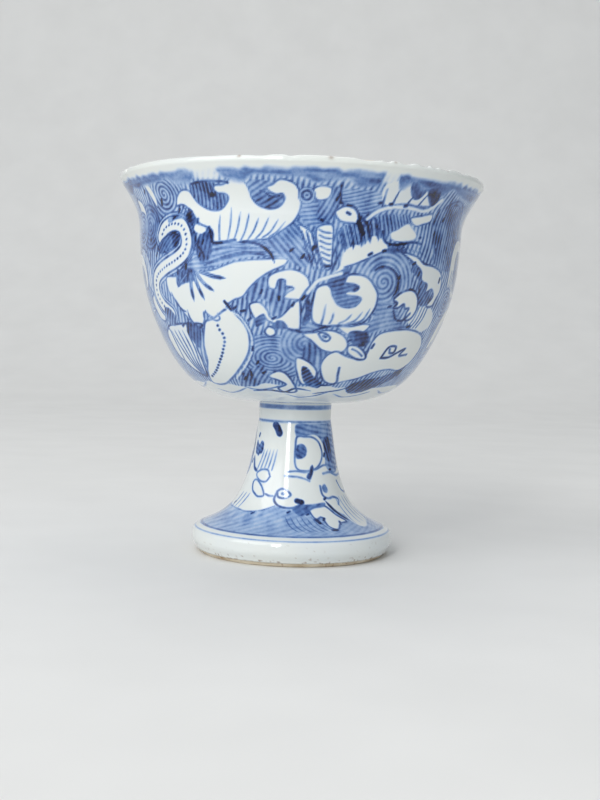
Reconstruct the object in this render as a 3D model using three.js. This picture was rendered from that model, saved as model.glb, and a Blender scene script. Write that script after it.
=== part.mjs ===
// Porcelain stem cup: a thrown bowl luted with slip onto a hollow, flared stem, under coats of clear glaze.
// Millimetres, +Z up, with the origin in the middle of the plane that the foot ring stands on.
// Every piece is turned round Z, so each is a profile of [radius, height] points for a lathe.
import * as THREE from "three";

// Steps that the curves are drawn with
const SIDES = 36; // facets round the cup
const BELLY_STEPS = 6;
const WALL_STEPS = 3;
const FLARE_STEPS = 4;
const LIP_STEPS = 2; // on each side of the crest
const NECK_STEPS = 5;
const TRUMPET_STEPS = 2;
const FOOT_EDGE_STEPS = 3;

// Glaze and slip
const GLAZE = 0.35; // thickness of each coat
const SLIP = 0.6; // thickness of the slip that lutes the bowl to the stem

// Heights above the table
const STEM_HEIGHT = 33.4; // top of the stem's clay
const BOWL_HEIGHT = 48.5; // from the bowl's seat on the slip to the crest of its lip
const SEAT_Z = STEM_HEIGHT + SLIP; // underside of the bowl's clay
const CREST_Z = SEAT_Z + BOWL_HEIGHT;

// Bowl, over its glaze
const LIP_RADIUS = 40; // widest, just under the crest
const LIP_THICKNESS = 2;
const LIP_DROP = 1.2; // from the crest to the widest point
const WAIST_RADIUS = 35.5; // where the everted lip starts
const WAIST_DROP = 11.5; // from the crest to the waist
const SHOULDER_RADIUS = 31.4; // where the round belly meets the wall
const SHOULDER_RISE = 16.3; // from the seat to the shoulder
const SHOULDER_SLOPE = 66; // degrees from level
const WAIST_SLOPE = 88;
const LIP_SLOPE = 50;
const WALL_THICKNESS = 2.6; // at the shoulder and the waist
const FLOOR_THICKNESS = 4.4; // in the middle of the bowl

// Stem, over its glaze
const NECK_RADIUS = 8.1;
const NECK_LENGTH = 4.5; // the straight stretch under the seat
const NECK_SLOPE = 80; // degrees from level, where the taper starts
const TRUMPET_RADIUS = 14; // where the stem turns out towards the foot
const TRUMPET_Z = 10.3;
const TRUMPET_SLOPE = 47;
const FOOT_TOP_RADIUS = 20.9; // where the foot's rounded edge starts
const FOOT_TOP_Z = 6;
const FOOT_TOP_SLOPE = 24;
const FOOT_RADIUS = 22.4; // widest
const FOOT_WIDEST_Z = 3.3;
const FOOT_GLAZE_END_Z = 0.9; // the foot ring is bare clay below this
const FOOT_GLAZE_END_RADIUS = 21.4;
const FOOT_RING_OUTER = 20.7; // the bare ring that the cup stands on
const FOOT_RING_WIDTH = 2.6;
const FOOT_RING_RISE = 2.6; // from the table to the end of the glaze inside the foot
const FOOT_RING_TAPER = 0.5; // how far the ring's inner side leans in on that rise
const GLAZE_END_SLOPE = -112;
const STEM_WALL = 3; // clay of the hollow stem, measured across it

// How far a curve's slopes reach, as a share of the straight distance between its ends
const SLACK_PULL = 0.3;
const PLAIN_PULL = 0.36;
const ROUND_PULL = 0.45;
const ARC_PULL = 0.5;

// A curve from one point to another that leaves and arrives at the given slopes, in degrees from level.
function sweep(from, to, leave, arrive, steps, pull = PLAIN_PULL) {
  const [a, b] = [new THREE.Vector2(...from), new THREE.Vector2(...to)];
  const reach = pull * a.distanceTo(b);
  const along = (degrees) =>
    new THREE.Vector2(1, 0).rotateAround(new THREE.Vector2(), THREE.MathUtils.degToRad(degrees));
  const curve = new THREE.CubicBezierCurve(
    a,
    along(leave).multiplyScalar(reach).add(a),
    along(arrive).multiplyScalar(-reach).add(b),
    b,
  );
  return curve.getPoints(steps).map((p) => [p.x, p.y]);
}

// Joins stretches that meet end to end, without repeating the shared points.
const joined = (...stretches) => stretches.flatMap((s, i) => (i ? s.slice(1) : s));

// A point moved square to a slope, to the left of the way it runs.
function beside([radius, height], slope, distance) {
  const turn = THREE.MathUtils.degToRad(slope + 90);
  return [radius + distance * Math.cos(turn), height + distance * Math.sin(turn)];
}

// Moves a whole profile square to itself, to the left of the way it runs.
// The slopes at its two ends are given, so that a coat can end square on what it meets.
function offset(points, distance, firstSlope, lastSlope) {
  return points.map((p, i) => {
    const [before, after] = [points[Math.max(i - 1, 0)], points[Math.min(i + 1, points.length - 1)]];
    const slope = THREE.MathUtils.radToDeg(Math.atan2(after[1] - before[1], after[0] - before[0]));
    const given = i === 0 ? firstSlope : i === points.length - 1 ? lastSlope : slope;
    return beside(p, given, distance);
  });
}

// The two ends of a profile that isn't turned all the way to the axis are joined.
const closed = (profile) => (profile[0][0] > 0 ? [...profile, profile[0]] : profile);

// Profiles of the bowl, from the seat up the outside, over the lip and down to the middle of the floor
const outsideStart = [NECK_RADIUS, SEAT_Z - GLAZE];
const shoulder = [SHOULDER_RADIUS, SEAT_Z + SHOULDER_RISE];
const waist = [WAIST_RADIUS, CREST_Z - WAIST_DROP];
const lipWidest = [LIP_RADIUS, CREST_Z - LIP_DROP];
const crest = [LIP_RADIUS - LIP_THICKNESS / 2, CREST_Z];
const lipInner = [LIP_RADIUS - LIP_THICKNESS, CREST_Z - LIP_DROP];
const bowlOutside = joined(
  sweep(outsideStart, shoulder, 0, SHOULDER_SLOPE, BELLY_STEPS, ROUND_PULL),
  sweep(shoulder, waist, SHOULDER_SLOPE, WAIST_SLOPE, WALL_STEPS),
  sweep(waist, lipWidest, WAIST_SLOPE, LIP_SLOPE, FLARE_STEPS),
  sweep(lipWidest, crest, 90, 180, LIP_STEPS, ARC_PULL),
);
const floorMiddle = [0, SEAT_Z + FLOOR_THICKNESS];
const innerShoulder = beside(shoulder, SHOULDER_SLOPE, WALL_THICKNESS);
const innerWaist = beside(waist, WAIST_SLOPE, WALL_THICKNESS);
const bowlInside = joined(
  sweep(crest, lipInner, 180, 270, LIP_STEPS, ARC_PULL),
  sweep(lipInner, innerWaist, LIP_SLOPE + 180, WAIST_SLOPE + 180, FLARE_STEPS),
  sweep(innerWaist, innerShoulder, WAIST_SLOPE + 180, SHOULDER_SLOPE + 180, WALL_STEPS),
  sweep(innerShoulder, floorMiddle, SHOULDER_SLOPE + 180, 180, BELLY_STEPS, ROUND_PULL),
);
const bowlClayOutside = offset(bowlOutside, GLAZE, 0, 180);
const bowlClayInside = offset(bowlInside, GLAZE, 180, 180);

// Profiles of the stem, from the bowl's seat down the outside, and from the foot ring up the bore.
// The coats reach up past the slip to the seat, so each has a point level with the joint between slip and stem.
const boreRadius = NECK_RADIUS - GLAZE - STEM_WALL;
const neckFoot = [NECK_RADIUS, SEAT_Z - NECK_LENGTH];
const trumpet = [TRUMPET_RADIUS, TRUMPET_Z];
const footTop = [FOOT_TOP_RADIUS, FOOT_TOP_Z];
const footWidest = [FOOT_RADIUS, FOOT_WIDEST_Z];
const glazeEnd = [FOOT_GLAZE_END_RADIUS, FOOT_GLAZE_END_Z];
const stemOutside = joined(
  [[NECK_RADIUS, SEAT_Z], [NECK_RADIUS, STEM_HEIGHT], neckFoot],
  sweep(neckFoot, trumpet, -NECK_SLOPE, -TRUMPET_SLOPE, NECK_STEPS, SLACK_PULL),
  sweep(trumpet, footTop, -TRUMPET_SLOPE, -FOOT_TOP_SLOPE, TRUMPET_STEPS),
  sweep(footTop, footWidest, -FOOT_TOP_SLOPE, -90, FOOT_EDGE_STEPS, ARC_PULL),
  sweep(footWidest, glazeEnd, -90, GLAZE_END_SLOPE, FOOT_EDGE_STEPS),
);
const stemClayOutside = offset(stemOutside, -GLAZE, -90, GLAZE_END_SLOPE);
const ringOuter = [FOOT_RING_OUTER, 0];
const ringInner = [FOOT_RING_OUTER - FOOT_RING_WIDTH, 0];
const boreFlare = beside(trumpet, -TRUMPET_SLOPE, -GLAZE - STEM_WALL);
const boreTaperEnd = [boreRadius, neckFoot[1]];
const boreGlazeEnd = [ringInner[0] - FOOT_RING_TAPER, FOOT_RING_RISE];
const stemClayInside = joined(
  sweep(boreGlazeEnd, boreFlare, 180 - FOOT_TOP_SLOPE, 180 - TRUMPET_SLOPE, TRUMPET_STEPS),
  sweep(boreFlare, boreTaperEnd, 180 - TRUMPET_SLOPE, 180 - NECK_SLOPE, NECK_STEPS, SLACK_PULL),
  [boreTaperEnd, [boreRadius, STEM_HEIGHT], [boreRadius, SEAT_Z]],
);
const stemInside = offset(stemClayInside, GLAZE, 180 - FOOT_TOP_SLOPE, 90);
stemInside[stemInside.length - 1][1] -= GLAZE; // the glaze turns here, over the clay that ends the bore

const porcelain = new THREE.MeshStandardMaterial({ color: 0xe9e3d6, roughness: 0.75, metalness: 0 });
const slipClay = new THREE.MeshStandardMaterial({ color: 0xd9d0bf, roughness: 0.85, metalness: 0 });
const paintedGlaze = new THREE.MeshStandardMaterial({ color: 0x9fb2d6, roughness: 0.12, metalness: 0 });
const clearGlaze = new THREE.MeshStandardMaterial({ color: 0xeef0ee, roughness: 0.12, metalness: 0 });

// Turns a profile round Z. The profile runs with its solid on the left, and closes on itself or on the axis.
function turned(name, profile, material) {
  const points = closed(profile).map(([radius, height]) => new THREE.Vector2(radius, height));
  const geometry = new THREE.LatheGeometry(points, SIDES);
  geometry.rotateX(Math.PI / 2);
  const mesh = new THREE.Mesh(geometry, material);
  mesh.name = name;
  return mesh;
}

const clayNeck = NECK_RADIUS - GLAZE;
const cup = new THREE.Group();
cup.add(
  turned("bowl_body", [[0, SEAT_Z], ...joined(bowlClayOutside, bowlClayInside)], porcelain),
  turned("bowl_outer_glaze", [...bowlOutside, ...bowlClayOutside.toReversed()], paintedGlaze),
  turned("bowl_inner_glaze", [...bowlClayInside.toReversed(), ...bowlInside], clearGlaze),
  turned(
    "luting_slip",
    [[boreRadius, STEM_HEIGHT], [clayNeck, STEM_HEIGHT], [clayNeck, SEAT_Z], [boreRadius, SEAT_Z]],
    slipClay,
  ),
  turned(
    "stem_body",
    [...stemClayOutside.slice(1).toReversed(), ...stemClayInside.slice(0, -1).toReversed(), ringInner, ringOuter],
    porcelain,
  ),
  turned("stem_outer_glaze", [...stemClayOutside, ...stemOutside.toReversed()], paintedGlaze),
  turned(
    "stem_inner_glaze",
    [[0, SEAT_Z - GLAZE], ...stemInside.toReversed(), ...stemClayInside, [0, SEAT_Z]],
    clearGlaze,
  ),
);

export default cup;
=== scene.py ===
"""Porcelain stem cup in underglaze blue. Sizes are in millimetres and degrees until a mesh is made.

A place on a painted surface is (azimuth, height). Azimuth 0 faces -Y, where the camera is, and azimuths
grow to the right.
"""
import math

import bpy
import numpy as np
from mathutils import Matrix, Vector


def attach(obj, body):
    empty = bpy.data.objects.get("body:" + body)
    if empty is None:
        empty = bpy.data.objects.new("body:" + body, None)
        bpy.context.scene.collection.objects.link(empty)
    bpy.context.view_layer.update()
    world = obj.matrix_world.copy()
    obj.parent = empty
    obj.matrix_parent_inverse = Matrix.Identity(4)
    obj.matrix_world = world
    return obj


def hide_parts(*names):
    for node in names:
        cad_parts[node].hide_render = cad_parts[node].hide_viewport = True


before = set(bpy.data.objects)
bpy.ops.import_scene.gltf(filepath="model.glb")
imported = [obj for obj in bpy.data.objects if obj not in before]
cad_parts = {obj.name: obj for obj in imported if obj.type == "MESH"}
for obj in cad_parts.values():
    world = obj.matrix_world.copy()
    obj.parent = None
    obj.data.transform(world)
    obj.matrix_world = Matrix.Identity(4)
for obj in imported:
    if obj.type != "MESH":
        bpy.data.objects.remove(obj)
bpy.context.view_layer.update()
rng = np.random.default_rng(7)
MM = 0.001

# Camera, at the height and tilt that the cup is seen from
CAMERA_PLACE = (1.0, -266.6, 47.5)
CAMERA_PITCH = 2.91  # degrees below level
CAMERA_ROLL = 1.72  # the cup's top leans to the right in the picture
CAMERA_LENS = 53.55

camera = bpy.data.objects.new("camera", bpy.data.cameras.new("camera"))
bpy.context.collection.objects.link(camera)
camera.data.lens = CAMERA_LENS
camera.data.clip_start = 0.01
pitch, roll = math.radians(CAMERA_PITCH), math.radians(CAMERA_ROLL)
forward = Vector((0, math.cos(pitch), -math.sin(pitch)))
right = Vector((1, 0, 0))
up = right.cross(forward)
camera_right = right * math.cos(roll) + up * math.sin(roll)
camera_up = up * math.cos(roll) - right * math.sin(roll)
turn = Matrix((camera_right, camera_up, -forward)).transposed()
camera.matrix_world = Matrix.Translation(Vector(CAMERA_PLACE) * MM) @ turn.to_4x4()
bpy.context.scene.camera = camera


# Profiles

def sweep(start, end, leave, arrive, pull, steps=60):
    """A curve between two points that leaves and arrives at the given slopes, in degrees from level."""
    a, b = np.array(start, float), np.array(end, float)
    reach = pull * np.linalg.norm(b - a)
    lead = np.array([math.cos(math.radians(leave)), math.sin(math.radians(leave))]) * reach
    trail = np.array([math.cos(math.radians(arrive)), math.sin(math.radians(arrive))]) * reach
    t = np.linspace(0, 1, steps)[:, None]
    return ((1 - t) ** 3 * a + 3 * (1 - t) ** 2 * t * (a + lead)
            + 3 * (1 - t) * t ** 2 * (b - trail) + t ** 3 * b)


def joined(*stretches):
    """Stretches that meet end to end, without repeating the shared points."""
    return np.concatenate([stretches[0]] + [s[1:] for s in stretches[1:]])


def arc_length(points):
    """How far along a curve each of its points is."""
    return np.concatenate([[0], np.cumsum(np.linalg.norm(np.diff(points, axis=0), axis=1))])


def evenly(points, count):
    """The same curve with points at even distances along it."""
    along = arc_length(points)
    at = np.linspace(0, along[-1], count)
    return np.stack([np.interp(at, along, points[:, 0]), np.interp(at, along, points[:, 1])], 1)


def beside(points, distance):
    """A profile moved square to itself, to the left of the way it runs."""
    slope = np.gradient(points, axis=0)
    slope /= np.linalg.norm(slope, axis=1)[:, None]
    return points + distance * np.stack([-slope[:, 1], slope[:, 0]], 1)


# Sizes of the cup, as in the part's source
GLAZE = 0.35  # thickness of each coat
NECK = 8.1  # radius of the stem's top, over its glaze
BORE = 4.75  # radius of the hollow in the stem, to its clay
STEM_HEIGHT = 33.4  # top of the stem's clay
SEAT = 34.0  # underside of the bowl's clay
CREST = 82.5  # top of the lip
FLOOR = SEAT + 4.4  # the middle of the bowl's floor

# Places that the profiles run through, as (radius, height)
SHOULDER = (31.4, 50.3)
WAIST = (35.5, 71)
LIP_WIDEST = (40, CREST - 1.2)
LIP_TOP = (39, CREST)
LIP_INNER = (38, CREST - 1.2)
INNER_WAIST = (32.9, 71.1)
INNER_SHOULDER = (29.02, 51.36)
NECK_FOOT = (NECK, 29.5)
TRUMPET = (14, 10.3)
FOOT_TOP = (20.9, 6)
FOOT_WIDEST = (22.4, 3.3)
GLAZE_END = (21.4, 0.9)
FOOT_RING = [(20.75, 0.35), (20.45, 0.06), (20.1, 0), (18.9, 0), (18.5, 0.06), (18.15, 0.4), (17.9, 1.4)]
BORE_GLAZE_END = (17.6, 2.6)
BORE_FLARE = (11.55, 8.02)
BORE_TAPER_END = (BORE, NECK_FOOT[1])

# Slopes at those places, in degrees from level
SHOULDER_SLOPE = 66
WAIST_SLOPE = 88
LIP_SLOPE = 58
INNER_LIP_SLOPE = 56
NECK_SLOPE = 80
TRUMPET_SLOPE = 47
FOOT_TOP_SLOPE = 24
GLAZE_END_SLOPE = -112

# How far a curve's slopes reach, as a share of the straight distance between its ends
SLACK_PULL = 0.3
PLAIN_PULL = 0.36
ROUND_PULL = 0.45
EDGE_PULL = 0.5
LIP_PULL = 0.55
LIP_STEPS = 12

bowl_outside = joined(
    sweep((NECK, SEAT - GLAZE), SHOULDER, 0, SHOULDER_SLOPE, ROUND_PULL),
    sweep(SHOULDER, WAIST, SHOULDER_SLOPE, WAIST_SLOPE, PLAIN_PULL),
    sweep(WAIST, LIP_WIDEST, WAIST_SLOPE, LIP_SLOPE, PLAIN_PULL),
    sweep(LIP_WIDEST, LIP_TOP, 90, 180, LIP_PULL, LIP_STEPS),
)
bowl_inside = joined(
    sweep(LIP_TOP, LIP_INNER, 180, 270, LIP_PULL, LIP_STEPS),
    sweep(LIP_INNER, INNER_WAIST, 180 + INNER_LIP_SLOPE, 180 + WAIST_SLOPE, PLAIN_PULL),
    sweep(INNER_WAIST, INNER_SHOULDER, 180 + WAIST_SLOPE, 180 + SHOULDER_SLOPE, PLAIN_PULL),
    sweep(INNER_SHOULDER, (0, FLOOR), 180 + SHOULDER_SLOPE, 180, ROUND_PULL),
)
stem_outside = joined(
    np.array([(NECK, SEAT), NECK_FOOT]),
    sweep(NECK_FOOT, TRUMPET, -NECK_SLOPE, -TRUMPET_SLOPE, SLACK_PULL),
    sweep(TRUMPET, FOOT_TOP, -TRUMPET_SLOPE, -FOOT_TOP_SLOPE, PLAIN_PULL),
    sweep(FOOT_TOP, FOOT_WIDEST, -FOOT_TOP_SLOPE, -90, EDGE_PULL),
    sweep(FOOT_WIDEST, GLAZE_END, -90, GLAZE_END_SLOPE, PLAIN_PULL),
)
stem_inside = joined(
    sweep(BORE_GLAZE_END, BORE_FLARE, 180 - FOOT_TOP_SLOPE, 180 - TRUMPET_SLOPE, PLAIN_PULL),
    sweep(BORE_FLARE, BORE_TAPER_END, 180 - TRUMPET_SLOPE, 180 - NECK_SLOPE, SLACK_PULL),
    np.array([BORE_TAPER_END, (BORE, SEAT)]),
)


# Painting. Ink is how much cobalt lies at a point of a surface, from 0 for none to 1 for near black.

class Surface:
    """Half of a painted surface, 180 degrees of it. The other half has the same painting."""

    def __init__(self, profile, columns):
        self.radius, self.height = profile[:, 0], profile[:, 1]
        self.along = arc_length(profile)
        self.azimuth = (np.arange(columns) + 0.5) * 180 / columns - 90
        self.ink = np.zeros((len(profile), columns))
        order = np.argsort(self.height)
        self.heights = self.height[order]
        self.lengths, self.radii = self.along[order], self.radius[order]

    def flat(self, points, middle):
        """Points laid flat, in millimetres, square to the azimuth in the middle."""
        points = np.array(points, float)
        across = np.radians(points[:, 0] - middle) * np.interp(points[:, 1], self.heights, self.radii)
        return np.stack([across, np.interp(points[:, 1], self.heights, self.lengths)], 1)

    def near(self, points, margin):
        """The rows and columns round some points, their places when laid flat, and the points laid flat."""
        points = np.array(points, float)
        middle = (points[:, 0].min() + points[:, 0].max()) / 2
        flat = self.flat(points, middle)
        low, high = flat[:, 1].min() - margin, flat[:, 1].max() + margin
        rows = np.nonzero((self.along > low) & (self.along < high))[0]
        turned = (self.azimuth - middle + 90) % 180 - 90
        least = self.radius[rows].min() if len(rows) else 1
        reach = np.ptp(points[:, 0]) / 2 + math.degrees(margin / max(least, 1))
        columns = np.nonzero(np.abs(turned) < reach)[0]
        x = np.radians(turned[columns])[None, :] * self.radius[rows][:, None]
        y = np.repeat(self.along[rows][:, None], len(columns), 1)
        return np.ix_(rows, columns), x, y, flat


EDGE = 0.32  # how far a painted edge takes to fade
PRESSURE = 0.8  # how much of its full width a brush leaves
TAPER_SHARE = 0.25  # a brush line grows from nothing to its full width in this share of its length
CREST_SHARPNESS = 1.4  # above 1, combed lines are narrower than the gaps between them
WAVER = 0.25  # how far combed lines stray from straight
WHITE = 0.015  # bare ground, with the faintest trace of cobalt


def smooth_line(points, closed=False, steps=7):
    """A smooth curve through the points."""
    p = np.array(points, float)
    if len(p) < 3:
        return p
    before = np.roll(p, 1, 0) if closed else np.concatenate([[2 * p[0] - p[1]], p[:-1]])
    after = np.roll(p, -1, 0) if closed else np.concatenate([p[1:], [2 * p[-1] - p[-2]]])
    beyond = np.roll(after, -1, 0) if closed else np.concatenate([after[1:], [after[-1]]])
    curve = []
    for i in range(len(p) if closed else len(p) - 1):
        for t in np.arange(steps) / steps:
            a, b, c, d = before[i], p[i], after[i], beyond[i]
            curve.append(0.5 * (2 * b + (c - a) * t + (2 * a - 5 * b + 4 * c - d) * t ** 2
                                + (3 * b - a - 3 * c + d) * t ** 3))
    if not closed:
        curve.append(p[-1])
    return np.array(curve)


def distance_to(x, y, line, half_widths):
    """How far each place is outside a line with the given half widths along it."""
    best = np.full(x.shape, 1e9)
    for (ax, ay), (bx, by), wa, wb in zip(line[:-1], line[1:], half_widths[:-1], half_widths[1:]):
        dx, dy = bx - ax, by - ay
        t = np.clip(((x - ax) * dx + (y - ay) * dy) / max(dx * dx + dy * dy, 1e-9), 0, 1)
        best = np.minimum(best, np.hypot(x - ax - t * dx, y - ay - t * dy) - wa - t * (wb - wa))
    return best


def inside(x, y, loop):
    """True where a place is inside a closed loop."""
    result = np.zeros(x.shape, bool)
    for (ax, ay), (bx, by) in zip(loop, np.roll(loop, -1, 0)):
        if ay == by:
            continue
        crosses = (ay > y) != (by > y)
        result ^= crosses & (x < (bx - ax) * (y - ay) / (by - ay) + ax)
    return result


def coverage(distance):
    """How much of the paint lies at a distance outside an edge, from 1 well inside it to 0 outside."""
    return np.clip(0.5 - distance / EDGE, 0, 1)


def stroke(surface, points, width=0.6, tone=0.75, taper=(1, 1)):
    """A brush line. taper is the share of its width that each end has."""
    line = smooth_line(points)
    where, x, y, flat = surface.near(line, width + 1)
    share = np.linspace(0, 1, len(flat))
    ends = np.minimum(taper[0] + share / TAPER_SHARE, taper[1] + (1 - share) / TAPER_SHARE)
    covered = coverage(distance_to(x, y, flat, np.minimum(1, ends) * width * PRESSURE / 2))
    surface.ink[where] = np.maximum(surface.ink[where], tone * covered)


def cover(surface, points, width, tone):
    """A band of one tone that covers what is under it, such as a reserve of bare ground."""
    line = smooth_line(points)
    where, x, y, flat = surface.near(line, width + 1)
    covered = coverage(distance_to(x, y, flat, np.full(len(flat), width / 2)))
    surface.ink[where] = surface.ink[where] * (1 - covered) + tone * covered


def area(surface, points, tone=0.0, outline=0.0, outline_tone=0.62, stripes=None):
    """A filled shape. stripes is (angle, pitch, second tone): parallel brush lines across it."""
    loop = smooth_line(points, closed=True)
    where, x, y, flat = surface.near(loop, 1.5)
    ring = np.concatenate([flat, flat[:1]])
    distance = distance_to(x, y, ring, np.zeros(len(ring)))
    signed = np.where(inside(x, y, flat), -distance, distance)
    fill = np.full(x.shape, tone)
    if stripes:
        fill = striped(x, y, tone, *stripes)
    covered = coverage(signed)
    surface.ink[where] = surface.ink[where] * (1 - covered) + fill * covered
    if outline:
        surface.ink[where] = np.maximum(surface.ink[where], outline_tone * coverage(distance - outline / 2))


def striped(x, y, tone, angle, pitch, second):
    """Parallel brush lines, slightly wavy, at an angle from level."""
    tilt = math.radians(angle)
    across = x * math.sin(tilt) - y * math.cos(tilt) + WAVER * np.sin(x / 3.1 + y / 2.3)
    wave = 0.5 + 0.5 * np.cos(2 * math.pi * across / pitch)
    return tone + (second - tone) * wave ** CREST_SHARPNESS


def rings(surface, azimuth, height, radius, pitch=0.95, tone=0.3, second=0.62, squash=1.0, turns=0.0):
    """A whirl of water: rings round a middle. turns makes it a spiral."""
    spread = math.degrees(radius / np.interp(height, surface.heights, surface.radii))
    rise = radius * 0.98
    corners = [(azimuth - spread, height - rise), (azimuth + spread, height + rise)]
    where, x, y, _ = surface.near(corners, 0.5)
    centre = surface.flat([(azimuth, height)], azimuth)[0]
    dx, dy = x - centre[0], (y - centre[1]) / squash
    away = np.hypot(dx, dy)
    turn_share = np.arctan2(dy, dx) / (2 * math.pi)
    wave = 0.5 + 0.5 * np.cos(2 * math.pi * (away / pitch + turns * turn_share))
    water = tone + (second - tone) * wave ** CREST_SHARPNESS
    covered = coverage(away - radius)
    surface.ink[where] = surface.ink[where] * (1 - covered) + water * covered


def spot(surface, azimuth, height, size, tone, stretch=1.0, lean=0.0):
    """A dab of the brush, size millimetres across and stretch times as long."""
    half = max(size * stretch - size, 0.01) / 2
    per_degree = math.radians(1) * np.interp(height, surface.heights, surface.radii)
    tilt = math.radians(lean)
    across, rise = half * math.cos(tilt) / per_degree, half * math.sin(tilt)
    ends = [(azimuth - across, height - rise), (azimuth + across, height + rise)]
    stroke(surface, ends, size, tone)


def dots(surface, points, count, size, tone):
    """Dabs at even steps along a curve, just short of its ends."""
    line = smooth_line(points)
    along = arc_length(surface.flat(line, line[:, 0].mean()))
    for share in np.linspace(0.02, 0.98, count):
        at = share * along[-1]
        azimuth, height = np.interp(at, along, line[:, 0]), np.interp(at, along, line[:, 1])
        spot(surface, azimuth, height, size, tone, 1.3, 25)


def eased(share):
    """A share from 0 to 1 that starts and ends gently."""
    return share * share * (3 - 2 * share)


def cloudy(rows, columns, coarse_rows, coarse_columns):
    """Soft uneven patches from -1 to 1 that meet at the ends of the rows."""
    seeds = rng.uniform(-1, 1, (coarse_rows, coarse_columns))
    seeds = np.concatenate([seeds, seeds[:, :1]], 1)
    row_place = np.linspace(0, coarse_rows - 1.001, rows)
    column_place = np.linspace(0, coarse_columns - 0.001, columns)
    row, column = row_place.astype(int), column_place.astype(int)
    down, across = eased(row_place - row)[:, None], eased(column_place - column)[None, :]
    upper = seeds[np.ix_(row, column)] * (1 - across) + seeds[np.ix_(row, column + 1)] * across
    lower = seeds[np.ix_(row + 1, column)] * (1 - across) + seeds[np.ix_(row + 1, column + 1)] * across
    return upper * (1 - down) + lower * down


# Edges of the painting on the bowl
BOWL_FLAT_RADIUS = 34  # the combed water is drawn as on a cylinder of this radius
SHORE_HEIGHT = 37.9  # bare ground below this
BAND_HEIGHT = 77.9  # the dark band starts here
BAND_GAP_RISE = 3.2  # the band is narrower by this over two heads
LIP_HEIGHT = 79.95  # the lip is bare above this


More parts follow.
